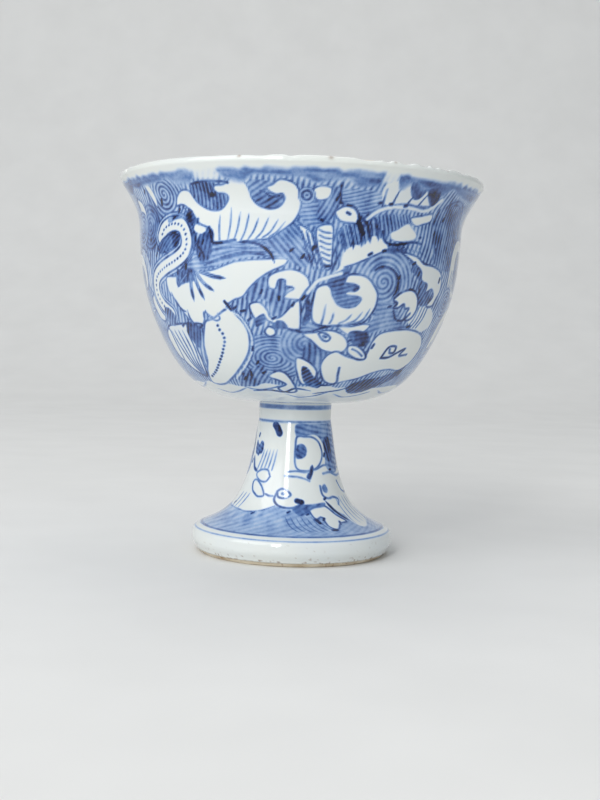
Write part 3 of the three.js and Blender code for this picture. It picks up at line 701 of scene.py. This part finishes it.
def paint_stem(stem):
    """Crests and a crouching creature between thin lines, over a washed slope."""
    rows, columns = stem.ink.shape
    stem.ink[:] = WHITE
    slope = [(-90, 10.4), (-75, 10.6), (-60, 10.2), (-45, 10), (-30, 10.6), (-17, 11.6), (-5, 11.4),
            (8, 11.4), (24, 11.8), (40, 11), (55, 9.6), (70, 9.6), (89, 10.4), (89, 6.4), (60, 6.3),
            (30, 6.3), (0, 6.3), (-30, 6.3), (-60, 6.3), (-90, 6.4)]
    area(stem, slope, 0.3, stripes=(-28, 1.3, 0.4))
    stroke(stem, [(-88, 10.3), (-60, 10.2), (-45, 10), (-30, 10.5), (-17, 11.6)], 0.45, 0.6, (0.4, 0.8))
    for step in range(8):
        start = -6 + 4.4 * step
        stroke(stem, [(start, 9.8), (start + 5, 8), (start + 12, 6.9)], 0.5, 0.6, (0.3, 0.3))
    area(stem, [(16, 11.2), (24, 12), (34, 11.6), (42, 9.8), (48, 8.6), (40, 8.3), (34, 7.4), (28, 8),
            (26, 9.6), (20, 9.3)], WHITE, 0.45, 0.72)
    spot(stem, 21, 8.9, 1.2, 0.8, 1.8, -40)
    spot(stem, 31, 7.3, 1.0, 0.85, 2.2)
    stroke(stem, [(36, 12.6), (43, 10.6), (51, 8.8)], 0.9, 0.85, (0.3, 0.6))
    area(stem, [(50, 13.8), (62, 13.8), (78, 12.6), (82, 9), (70, 7.6), (58, 7.4), (52, 9.6)], WHITE)
    for step in range(5):
        start = 51 + 6.4 * step
        stroke(stem, [(start, 13.4), (start + 3, 10.6), (start + 5, 8)], 0.42, 0.5, (0.3, 0.3))
    for step in range(3):
        start = -52 - 7 * step
        stroke(stem, [(start, 13.6), (start - 4, 11.8), (start - 7, 10.2)], 0.45, 0.6, (0.3, 0.5))

    # crouching creature with a round eye and dark nose
    stroke(stem, [(-30, 17.9), (-34, 18.9), (-44, 18.8), (-51, 17.8), (-44, 16.6), (-34, 16.4),
            (-29, 17.6)], 0.55, 0.62)
    stroke(stem, [(-42, 13.4), (-50, 14.4), (-53, 16), (-48, 16.6), (-38, 15.4), (-32, 13.6), (-38, 13.2),
            (-42, 13.4)], 0.55, 0.62)
    stroke(stem, [(-17, 14.6), (-12, 15.2), (-6, 14.8), (-2, 14), (-8, 13.3), (-15, 13.5), (-17, 14.6)],
            0.6, 0.66)
    spot(stem, -10, 14.2, 0.9, 0.5, 1.4)
    stroke(stem, [(-17, 14.4), (-19, 13), (-15, 11.9), (-8, 11.4), (0, 11.4), (8, 12)], 0.7, 0.66)
    spot(stem, 7, 12.7, 1.5, 0.85, 1.7, -15)
    stroke(stem, [(-21, 13.6), (-26, 13.6), (-32, 14)], 0.6, 0.6, (0.8, 0.2))
    area(stem, [(0, 11.2), (8, 12), (22, 12.2), (34, 12.4), (32, 11.6), (20, 11.2), (12, 10.2), (6, 10)],
            0.5, stripes=(-30, 1.1, 0.62))
    area(stem, [(35, 15.6), (40, 16.2), (43, 15), (40, 14.3), (36, 14.6)], 0.5)
    stroke(stem, [(33, 15.8), (34, 14), (40, 13.2), (48, 13.4), (55, 12.8), (52, 11.8)], 0.7, 0.6)

    # curling crests under the upper line
    area(stem, [(2, 29), (20, 29.2), (50, 29.2), (82, 29.2), (84, 23), (72, 19), (58, 18.4), (46, 20),
            (48, 23.6), (38, 26.2), (26, 26.8), (10, 26), (2, 26.6)], 0.4, stripes=(14, 1.1, 0.6))
    area(stem, [(46, 25.6), (60, 26), (62, 21.6), (50, 21.4)], 0.62, stripes=(75, 0.9, 0.9))
    area(stem, [(4, 26.3), (16, 26.4), (28, 26.2), (38, 25), (42, 22.6), (36, 20.4), (24, 19.2),
            (8, 19.2), (2, 20.6), (2, 24)], WHITE, 0.45, 0.62)
    area(stem, [(4, 24.4), (12, 24.8), (18, 23.8), (16, 22.2), (8, 21.6), (3, 22)],
            0.6, stripes=(30, 0.9, 0.72))
    stroke(stem, [(-8, 18.8), (4, 19), (16, 18.8), (30, 19.4), (44, 20.2), (60, 19.6), (76, 19.4)],
            0.6, 0.55)
    stroke(stem, [(-10, 17.9), (4, 17.8), (14, 17.4), (20, 16.9)], 0.6, 0.5)
    stroke(stem, [(40, 18.4), (52, 18.6), (66, 17.8), (82, 18)], 0.7, 0.5)
    stroke(stem, [(25, 20.2), (23, 18.8), (20, 17.6)], 1.1, 0.88, (0.3, 1))
    spot(stem, 20, 18, 1.3, 0.92, 1.4, 60)
    stroke(stem, [(-32, 29), (-26, 28), (-21, 26.6)], 1.9, 0.88, (0.5, 0.5))
    area(stem, [(-66, 25), (-58, 24.2), (-54, 25), (-48, 24.6), (-48, 22.6), (-58, 21.9), (-66, 22.6)],
            0.55, stripes=(20, 0.9, 0.75))
    for step in range(5):
        stroke(stem, [(-52 + 6 * step, 18.9), (-48 + 5.6 * step, 21), (-44 + 5.2 * step, 23.4)],
                0.5, 0.45, (0.8, 0.1))
    stroke(stem, [(-66, 21.4), (-60, 19.2), (-52, 18.4)], 0.9, 0.8, (0.5, 0.5))
    stroke(stem, [(-82, 27.6), (-76, 24.4), (-74, 21)], 1.0, 0.8, (0.3, 0.5))
    area(stem, [(-88, 22), (-80, 22.4), (-74, 19.8), (-80, 17.4), (-88, 17.8)],
            0.4, 0.4, 0.6, stripes=(15, 1.0, 0.55))
    stroke(stem, [(64, 16.6), (70, 14.6), (80, 14), (88, 15.4)], 0.6, 0.6)

    for azimuth, height, lean in ((-62, 26.2, 70), (-56, 22.2, 60), (-70, 20.4, 80), (46, 22.4, 70),
            (54, 19.2, 10), (-3, 10.6, 30), (14, 10.2, 20), (36, 13.2, 30), (27, 9.2, 50),
            (-72, 11.2, 30), (-36, 9.9, 20), (40, 8.4, 60), (78, 20.6, 60)):
        spot(stem, azimuth, height, 0.7, 0.9, 1.8, lean)

    # lines round the joint, the neck and the foot
    stem.ink *= 1 + 0.22 * cloudy(rows, columns, 24, 40)
    uneven = cloudy(rows, columns, 8, 26)
    for height, width, tone in ((32.7, 1.0, 0.52), (29.5, 0.6, 0.42), (6.3, 0.65, 0.6), (5.55, 0.4, 0.42)):
        away = np.abs(stem.along - np.interp(height, stem.heights, stem.lengths))
        line = coverage(away - width / 2)[:, None] * tone * (1 + 0.18 * uneven)
        stem.ink[:] = np.maximum(stem.ink, line)


# Meshes

def make_piece(name, rings_of_points, material, replaced, floats=None, painted_rows=0, pole=False):
    """Skins rings of points, each with the same number, into a closed piece. floats are values for points.

    The last ring is joined to the first, or with pole each of the two is closed at its middle. Faces point
    outward when the rings go up the outer side and down the inner side.
    """
    rows, columns = rings_of_points.shape[:2]
    points = rings_of_points.reshape(-1, 3) * MM
    row = np.arange(rows - 1 if pole else rows)[:, None] * columns
    here = row + np.arange(columns)[None, :]
    beside_it = row + (np.arange(columns)[None, :] + 1) % columns
    above = (here + columns) % (rows * columns)
    above_beside = (beside_it + columns) % (rows * columns)
    quads = np.stack([here, beside_it, above_beside, above], -1).reshape(-1, 4)
    corners, sizes = quads.ravel(), np.full(len(quads), 4)
    if pole:
        around = np.arange(columns)
        following = (around + 1) % columns
        ends = []
        for base, flip in ((0, True), ((rows - 1) * columns, False)):
            points = np.concatenate([points, [points[base:base + columns].mean(0)]])
            fan = [base + around, base + following, np.full(columns, len(points) - 1)]
            ends.append(np.stack(fan[::-1] if flip else fan, 1))
        fans = np.concatenate(ends)
        corners = np.concatenate([corners, fans.ravel()])
        sizes = np.concatenate([sizes, np.full(len(fans), 3)])
    mesh = bpy.data.meshes.new(name)
    mesh.vertices.add(len(points))
    mesh.vertices.foreach_set("co", points.ravel())
    mesh.loops.add(len(corners))
    mesh.loops.foreach_set("vertex_index", corners.astype(np.int32))
    mesh.polygons.add(len(sizes))
    mesh.polygons.foreach_set("loop_start", np.concatenate([[0], np.cumsum(sizes)[:-1]]).astype(np.int32))
    mesh.polygons.foreach_set("use_smooth", np.ones(len(sizes), bool))
    mesh.update(calc_edges=True)
    for key, values in (floats or {}).items():
        extra = np.zeros(len(points) - rows * columns)
        everywhere = np.concatenate([values.ravel(), extra])
        mesh.attributes.new(key, "FLOAT", "POINT").data.foreach_set("value", everywhere)
    if painted_rows:
        lay_out(mesh, corners, rows, columns, painted_rows)
    mesh.validate()
    mesh.materials.append(material)
    piece = bpy.data.objects.new(name, mesh)
    bpy.context.collection.objects.link(piece)
    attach(piece, "root")
    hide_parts(*replaced)
    return piece


# Strips of the painted pieces' texture: the two halves of the painting, and above them the hidden side
UV_MARGIN = 0.004
UV_WIDTH = 0.992
UV_STRIP = 0.466  # height of the strip of one half
UV_SECOND = 0.478  # from the foot of the first strip to that of the second
UV_HIDDEN = 0.962  # foot of the hidden side's strip
UV_HIDDEN_STRIP = 0.034


def lay_out(mesh, corners, rows, columns, painted_rows):
    """Lays the painted side flat as two long strips, one over the other, and the hidden side as a third."""
    layer = mesh.uv_layers.new(name="OFBake")
    quads = corners.reshape(-1, 4)
    first_row, first_column = quads[:, :1] // columns, quads[:, :1] % columns
    half = columns // 2
    row = first_row + np.array([0, 0, 1, 1])
    column_steps = np.array([0, 1, 1, 0])
    painted = first_row < painted_rows - 1
    u_painted = (first_column % half + column_steps) / half
    u_hidden = (first_column + column_steps) / columns
    u = UV_MARGIN + UV_WIDTH * np.where(painted, u_painted, u_hidden)
    second = np.where(first_column >= half, UV_SECOND, 0)
    v_painted = UV_MARGIN + UV_STRIP * row / (painted_rows - 1) + second
    hidden_share = (row - painted_rows + 1) / (rows - painted_rows + 1)
    v = np.where(painted, v_painted, UV_HIDDEN + UV_HIDDEN_STRIP * hidden_share)
    layer.data.foreach_set("uv", np.stack([u, v], -1).ravel().astype(np.float32))


def azimuths(columns):
    """The azimuth of each column of a turned piece. The painting starts at -90, in column 0."""
    return (np.arange(columns) + 0.5) * 360 / columns - 90


def turned(profile, columns):
    """A profile turned round Z, as rings of points."""
    azimuth = np.radians(azimuths(columns))
    radius, height = profile[:, :1], profile[:, 1:]
    return np.stack([radius * np.sin(azimuth), -radius * np.cos(azimuth), height + 0 * azimuth], -1)


# Materials

def srgb(r, g, b):
    """A colour as seen on a screen, 0 to 255, as the light that Blender counts in."""
    def light(c):
        c /= 255
        return c / 12.92 if c <= 0.04045 else ((c + 0.055) / 1.055) ** 2.4
    return (light(r), light(g), light(b), 1)


class Shader:
    """A new material and short ways to add its nodes."""

    def __init__(self, name, roughness, **constants):
        self.material = bpy.data.materials.new(name)
        self.material.use_nodes = True
        self.tree = self.material.node_tree
        self.bsdf = self.tree.nodes["Principled BSDF"]
        self.bsdf.inputs["Roughness"].default_value = roughness
        for key, value in constants.items():
            self.bsdf.inputs[key.replace("_", " ")].default_value = value

    def link(self, source, target):
        self.tree.links.new(source, target)

    def attribute(self, name):
        node = self.tree.nodes.new("ShaderNodeAttribute")
        node.attribute_name = name
        return node.outputs["Fac"]

    def noise(self, scale, detail=3.0, roughness=0.55):
        node = self.tree.nodes.new("ShaderNodeTexNoise")
        place = self.tree.nodes.new("ShaderNodeTexCoord")
        self.link(place.outputs["Object"], node.inputs["Vector"])
        node.inputs["Scale"].default_value = scale
        node.inputs["Detail"].default_value = detail
        node.inputs["Roughness"].default_value = roughness
        return node.outputs["Fac"]

    def spread(self, value, low, high, to_low, to_high):
        node = self.tree.nodes.new("ShaderNodeMapRange")
        self.link(value, node.inputs["Value"])
        for key, number in zip(("From Min", "From Max", "To Min", "To Max"), (low, high, to_low, to_high)):
            node.inputs[key].default_value = number
        return node.outputs["Result"]

    def math(self, operation, a, b):
        node = self.tree.nodes.new("ShaderNodeMath")
        node.operation = operation
        for i, value in enumerate((a, b)):
            if isinstance(value, (int, float)):
                node.inputs[i].default_value = value
            else:
                self.link(value, node.inputs[i])
        return node.outputs[0]

    def ramp(self, value, stops):
        node = self.tree.nodes.new("ShaderNodeValToRGB")
        stop = node.color_ramp.elements
        while len(stop) < len(stops):
            stop.new(0.5)
        for element, (position, colour) in zip(stop, stops):
            element.position = position
            element.color = colour
        self.link(value, node.inputs["Fac"])
        return node.outputs["Color"]

    def mix(self, share, a, b):
        node = self.tree.nodes.new("ShaderNodeMix")
        node.data_type = "RGBA"
        self.link(share, node.inputs["Factor"])
        for key, value in (("A", a), ("B", b)):
            socket = next(s for s in node.inputs if s.name == key and s.type == "RGBA")
            if isinstance(value, tuple):
                socket.default_value = value
            else:
                self.link(value, socket)
        return next(s for s in node.outputs if s.type == "RGBA")

    def bump(self, height, strength, distance):
        node = self.tree.nodes.new("ShaderNodeBump")
        node.inputs["Strength"].default_value = strength
        node.inputs["Distance"].default_value = distance
        self.link(height, node.inputs["Height"])
        self.link(node.outputs["Normal"], self.bsdf.inputs["Normal"])


GROUND = srgb(226, 230, 226)
COBALT = [(0.0, GROUND), (0.12, srgb(212, 221, 229)), (0.32, srgb(152, 178, 214)),
        (0.52, srgb(90, 126, 182)), (0.72, srgb(50, 78, 138)), (0.88, srgb(28, 40, 84)),
        (1.0, srgb(16, 20, 46))]
RUST = srgb(122, 84, 48)


def glaze(name):
    """Glossy glaze whose surface is slightly uneven."""
    shader = Shader(name, 0.12, IOR=1.5, Coat_Weight=0.35, Coat_Roughness=0.05)
    shader.bump(shader.noise(420, 3), 0.08, 0.0002)
    return shader


def painted_glaze():
    """Clear glaze over cobalt that has pooled and run a little, with rust-brown specks where it is thin."""
    shader = glaze("painted_glaze")
    grain = shader.spread(shader.noise(1500, 2), 0.3, 0.7, 0.9, 1.1)
    pools = shader.spread(shader.noise(260, 3), 0.3, 0.7, 0.88, 1.14)
    ink = shader.math("MULTIPLY", shader.math("MULTIPLY", shader.attribute("cobalt"), grain), pools)
    cloud = shader.spread(shader.noise(60, 2), 0.35, 0.65, 0.0, 0.03)
    colour = shader.ramp(shader.math("ADD", ink, cloud), COBALT)
    shader.link(shader.mix(shader.attribute("stain"), colour, RUST), shader.bsdf.inputs["Base Color"])
    return shader.material


def clear_glaze():
    """Plain bluish white glaze with a faint drift of tone and a few pinholes."""
    shader = glaze("clear_glaze")
    tone = shader.ramp(shader.noise(70, 3), [(0.3, srgb(218, 224, 226)), (0.7, srgb(232, 235, 232))])
    pinholes = shader.spread(shader.noise(900, 1), 0.76, 0.8, 0.0, 0.6)
    shader.link(shader.mix(pinholes, tone, srgb(150, 130, 104)), shader.bsdf.inputs["Base Color"])
    return shader.material


def bare_clay():
    """Unglazed porcelain, warm and matt, with grit and burnt patches."""
    shader = Shader("bare_clay", 0.78, IOR=1.45)
    colours = [(0.3, srgb(196, 178, 150)), (0.55, srgb(224, 213, 192)), (0.8, srgb(232, 224, 208))]
    tone = shader.ramp(shader.noise(240, 4), colours)
    burnt = shader.spread(shader.noise(700, 2), 0.62, 0.72, 0.0, 0.7)
    shader.link(shader.mix(burnt, tone, srgb(150, 104, 62)), shader.bsdf.inputs["Base Color"])
    shader.bump(shader.noise(1800, 4), 0.4, 0.0003)
    return shader.material


def studio_paper():
    """Pale matt paper with a faint tooth."""
    shader = Shader("studio_paper", 0.9)
    tooth = shader.ramp(shader.noise(30, 2), [(0.3, srgb(226, 226, 224)), (0.7, srgb(230, 230, 228))])
    shader.link(tooth, shader.bsdf.inputs["Base Color"])
    return shader.material


# The cup

BOWL_COLUMNS, BOWL_ROWS = 800, 250
STEM_COLUMNS, STEM_ROWS = 440, 180
CLAY_COLUMNS = 180
LINING_COLUMNS = 120
NIBBLES = 90  # uneven places round the lip
WORN_BELT = 1.8  # how far below the crest the lip is worn

# Chips in the lip, as azimuth, half width in degrees and depth
CHIPS = [(-67, 1.6, 0.9), (-11, 2.2, 0.2), (-3, 1.2, 0.2), (19, 3.5, 0.28), (24.5, 1.2, 0.3),
        (31, 2.0, 0.34), (37.5, 1.8, 0.4), (41.5, 1.4, 0.36), (46, 2.2, 0.3), (56, 2.5, 0.3),
        (112, 2, 0.4), (160, 3, 0.3), (205, 1.8, 0.5), (247, 2.6, 0.3)]

# Rust-brown specks by the lip, as azimuth, height, size and depth of tone
SPECKS = [(-17.5, 82.1, 0.35, 0.7), (8, 82.1, 0.45, 0.6), (-66, 82, 0.5, 0.5), (27, 82.1, 0.3, 0.5),
          (47, 82, 0.3, 0.4), (140, 82, 0.5, 0.6), (222, 82, 0.4, 0.6)]

painted, clear, clay = painted_glaze(), clear_glaze(), bare_clay()


def away_from(azimuth, place):
    """Degrees from a place round the cup, from -180 to 180."""
    return (azimuth - place + 180) % 360 - 180


def lip_wear(azimuth):
    """How far the crest of the lip is worn down at each azimuth: frits, nibbles and a few chips."""
    count = len(azimuth)
    nibbles = rng.uniform(-1, 1, NIBBLES)
    places = np.linspace(0, count, NIBBLES, endpoint=False)
    wear = 0.1 + 0.1 * np.interp(np.arange(count), places, nibbles, period=count)
    for place, width, depth in CHIPS:
        wear += depth * np.exp(-(away_from(azimuth, place) / width) ** 4)
    return np.maximum(wear, 0)


lip_depth = lip_wear(azimuths(BOWL_COLUMNS))


def worn(profile):
    """A profile of the bowl turned round Z, with what is near the crest lowered by the wear there."""
    points = turned(profile, BOWL_COLUMNS)
    near_crest = np.clip((points[..., 2] - (CREST - WORN_BELT)) / WORN_BELT, 0, 1) ** 1.3
    points[..., 2] -= near_crest * lip_depth[None, :]
    return points


def ink_of(surface, points):
    """The ink at each point of a skin: the painting twice round its outer side, and none underneath."""
    ink = np.zeros(points.shape[:2])
    ink[:len(surface.ink)] = np.tile(surface.ink, 2)
    return ink


# the coats of the bowl, which meet at the crest
crest_back = (LIP_TOP[0], CREST - GLAZE)
outer = evenly(bowl_outside, BOWL_ROWS)
bowl_surface = Surface(outer, BOWL_COLUMNS // 2)
paint_bowl(bowl_surface)
outer_back = beside(evenly(bowl_outside, 24), GLAZE)[::-1]
outer_back[0] = crest_back
outer_back[-1] = (NECK, SEAT)
bowl_points = worn(np.concatenate([outer, outer_back]))
stain = np.zeros(bowl_points.shape[:2])
for place, height, size, depth in SPECKS:
    along = np.radians(away_from(azimuths(BOWL_COLUMNS)[None, :], place)) * LIP_TOP[0]
    stain = np.maximum(stain,
            depth * np.exp(-(along ** 2 + (bowl_points[..., 2] - height) ** 2) / size ** 2))
make_piece("bowl_painted_skin", bowl_points, painted, ["bowl_outer_glaze"],
           {"cobalt": ink_of(bowl_surface, bowl_points), "stain": stain}, BOWL_ROWS)

# the lining's rings run from the middle of its under side, over the crest, to the middle of its upper side
inner = evenly(bowl_inside, 90)[:-1]
inner_back = beside(inner, GLAZE)[::-1]
inner_back[-1] = crest_back
make_piece("bowl_lining", worn(np.concatenate([inner_back, inner])), clear,
        ["bowl_inner_glaze"], pole=True)

# the coat outside the stem, whose rings run down its outer side, so its faces are turned outward afterwards
GRIT_HEIGHT = 2.6  # grit and rust are burnt into the glaze below this
stem_profile = evenly(stem_outside, STEM_ROWS)
stem_surface = Surface(stem_profile, STEM_COLUMNS // 2)
paint_stem(stem_surface)
stem_back = beside(evenly(stem_outside, 30), -GLAZE)[::-1]
stem_back[-1] = (NECK - GLAZE, SEAT)
stem_points = turned(np.concatenate([stem_profile, stem_back]), STEM_COLUMNS)
grit = cloudy(*stem_points.shape[:2], 120, 260)
low_edge = np.clip((GRIT_HEIGHT - stem_points[..., 2]) / 1.6, 0, 1)
specks = 1.4 * (grit - 0.78) * (stem_points[..., 2] < 5)
stain = np.clip(low_edge * 0.5 + 0.5 * low_edge * grit + specks, 0, 0.8)
stem_skin = make_piece("stem_painted_skin", stem_points, painted, ["stem_outer_glaze"],
                       {"cobalt": ink_of(stem_surface, stem_points), "stain": stain}, STEM_ROWS)
stem_skin.data.flip_normals()


def below_slip(profile):
    """The part of a profile that is below the slip."""
    return profile[profile[:, 1] < STEM_HEIGHT]


# the clay of the stem, whose bare foot ring shows between the two coats
clay_outside = below_slip(beside(evenly(stem_outside, 60), -GLAZE))
bore = evenly(stem_inside, 60)
top = [(BORE, STEM_HEIGHT), (NECK - GLAZE, STEM_HEIGHT)]
clay_rings = turned(np.concatenate([clay_outside, FOOT_RING, below_slip(bore), top])[::-1], CLAY_COLUMNS)
make_piece("stem_clay", clay_rings, clay, ["stem_body"])

# the coat in the bore, which covers its top end too
bore_skin = beside(bore, GLAZE)
bore_skin[-1] = (BORE - GLAZE, SEAT - GLAZE)
cap_under = [(0.4, SEAT - GLAZE), (2.2, SEAT - GLAZE)]
cap_over = [(2.4, SEAT), (0.4, SEAT)]
lining_rings = turned(np.concatenate([cap_under, bore_skin[::-1], bore, cap_over]), LINING_COLUMNS)
make_piece("stem_lining", lining_rings, clear, ["stem_inner_glaze"], pole=True)

for node in ("bowl_body", "luting_slip"):
    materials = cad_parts[node].data.materials
    materials.clear()
    materials.append(clay)


# Studio, in metres

SHEET_HALF_WIDTH = 2.4
SHEET_FRONT = -1.6
SHEET_BACK = 0.5  # where the floor starts to bend up
SHEET_BEND = 0.5  # radius of the bend
SHEET_TOP = 2.4
BEND_STEPS = 16


def sweep_sheet():
    """A floor that curves up into a wall behind the cup."""
    profile = [(SHEET_FRONT, 0.0), (SHEET_BACK, 0.0)]
    for step in range(1, BEND_STEPS + 1):
        angle = math.radians(90 * step / BEND_STEPS)
        profile.append((SHEET_BACK + SHEET_BEND * math.sin(angle), SHEET_BEND * (1 - math.cos(angle))))
    profile.append((SHEET_BACK + SHEET_BEND, SHEET_TOP))
    corners = [(x, y, z) for y, z in profile for x in (-SHEET_HALF_WIDTH, SHEET_HALF_WIDTH)]
    faces = [(2 * i, 2 * i + 1, 2 * i + 3, 2 * i + 2) for i in range(len(profile) - 1)]
    mesh = bpy.data.meshes.new("paper_sweep")
    mesh.from_pydata(corners, [], faces)
    mesh.polygons.foreach_set("use_smooth", [True] * len(faces))
    mesh.materials.append(studio_paper())
    sheet = bpy.data.objects.new("paper_sweep", mesh)
    bpy.context.collection.objects.link(sheet)


def area_light(name, place, aim_height, width, height, power, colour=(1, 1, 1)):
    """A rectangular light that points at the cup's axis."""
    light = bpy.data.lights.new(name, "AREA")
    light.shape = "RECTANGLE"
    light.size, light.size_y = width, height
    light.energy = power
    light.color = colour
    holder = bpy.data.objects.new(name, light)
    bpy.context.collection.objects.link(holder)
    holder.location = place
    aim = Vector((0, 0, aim_height)) - Vector(place)
    holder.rotation_euler = aim.to_track_quat("-Z", "Y").to_euler()


sweep_sheet()
area_light("window", (-0.24, -0.78, 0.42), 0.03, 0.13, 0.6, 3.2, (1, 0.99, 0.97))
area_light("key", (-0.9, -0.7, 0.9), 0.05, 1.1, 1.1, 7.6)
area_light("fill", (1.0, -0.6, 0.5), 0.05, 0.9, 0.9, 0.5)
area_light("top", (0, 0.3, 1.2), 0.05, 1.0, 1.0, 3.4)

# the room lights the cup from all round, and the camera sees a pale backdrop past the edge of the paper
ROOM_LIGHT = (0.86, 0.9, 0.95, 1)
ROOM_STRENGTH = 0.42
BACKDROP = (0.66, 0.67, 0.67, 1)

world = bpy.data.worlds.new("studio")
bpy.context.scene.world = world
world.use_nodes = True
nodes = world.node_tree.nodes
room = nodes["Background"]
room.inputs["Color"].default_value = ROOM_LIGHT
room.inputs["Strength"].default_value = ROOM_STRENGTH
backdrop = nodes.new("ShaderNodeBackground")
backdrop.inputs["Color"].default_value = BACKDROP
by_ray = nodes.new("ShaderNodeMixShader")
light_path = nodes.new("ShaderNodeLightPath")
for source, target in ((light_path.outputs["Is Camera Ray"], by_ray.inputs[0]),
        (room.outputs[0], by_ray.inputs[1]), (backdrop.outputs[0],
        by_ray.inputs[2]), (by_ray.outputs[0], nodes["World Output"].inputs["Surface"])):
    world.node_tree.links.new(source, target)
bpy.context.scene.view_settings.view_transform = "Standard"
